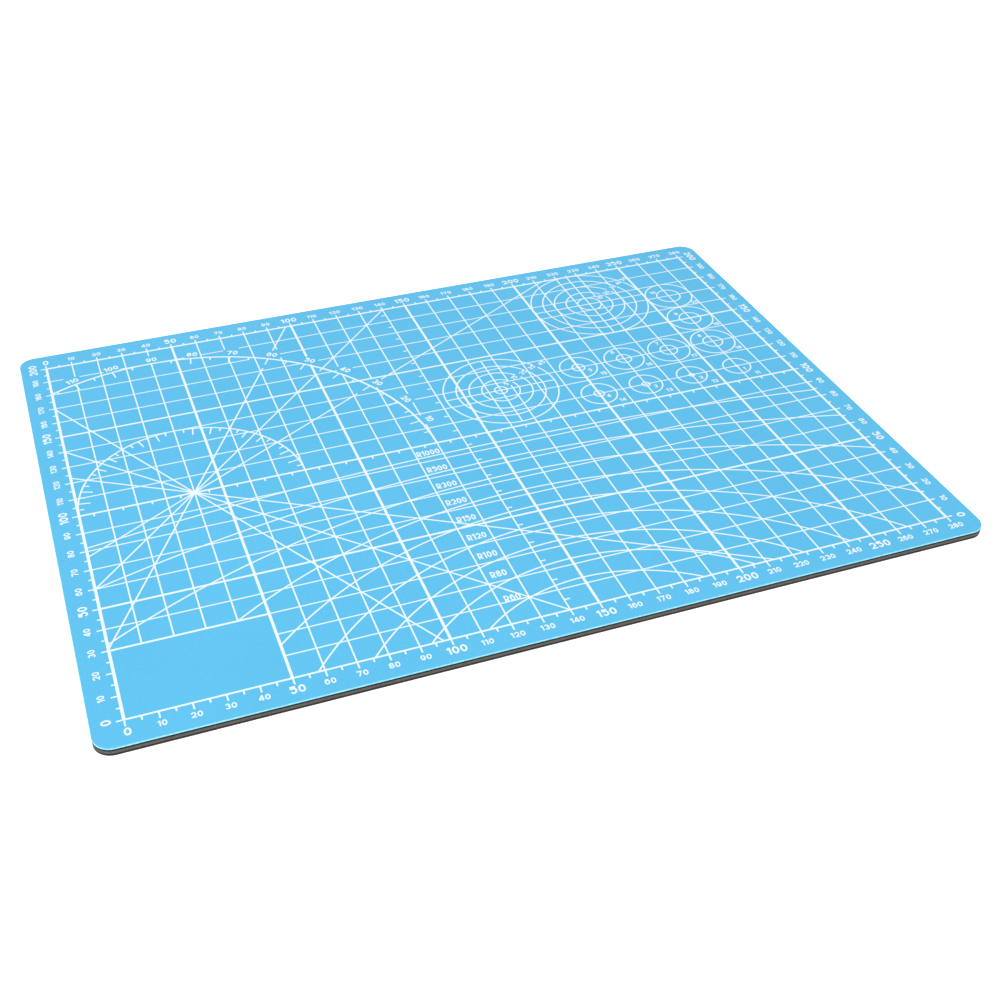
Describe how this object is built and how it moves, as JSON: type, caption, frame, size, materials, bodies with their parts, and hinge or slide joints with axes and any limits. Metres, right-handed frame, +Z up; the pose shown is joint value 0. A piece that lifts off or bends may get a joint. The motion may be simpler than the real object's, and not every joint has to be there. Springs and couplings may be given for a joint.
{
  "type": "self healing cutting mat",
  "caption": "Flat laminated cutting mat with rounded corners: soft blue self-healing face, stiff core, dark base and a white printed grid.",
  "frame": {"origin": "centre of the underside, on the surface the mat lies on", "axes": "+X along the long side towards the end of the long scale, +Y along the short side away from the edge whose numbers read upright, +Z up out of the printed face"},
  "size_m": [0.3, 0.22, 0.003],
  "materials": {
    "face_vinyl": "satin",
    "tie_film": "matte",
    "core_plastic": "matte",
    "base_vinyl": "matte",
    "white_ink": "satin"
  },
  "bodies": {
    "root": {"face_skin": "face_vinyl", "upper_tie_film": "tie_film", "core_sheet": "core_plastic", "lower_tie_film": "tie_film", "base_skin": "base_vinyl", "grid_print": "white_ink"}
  },
  "joints": []
}
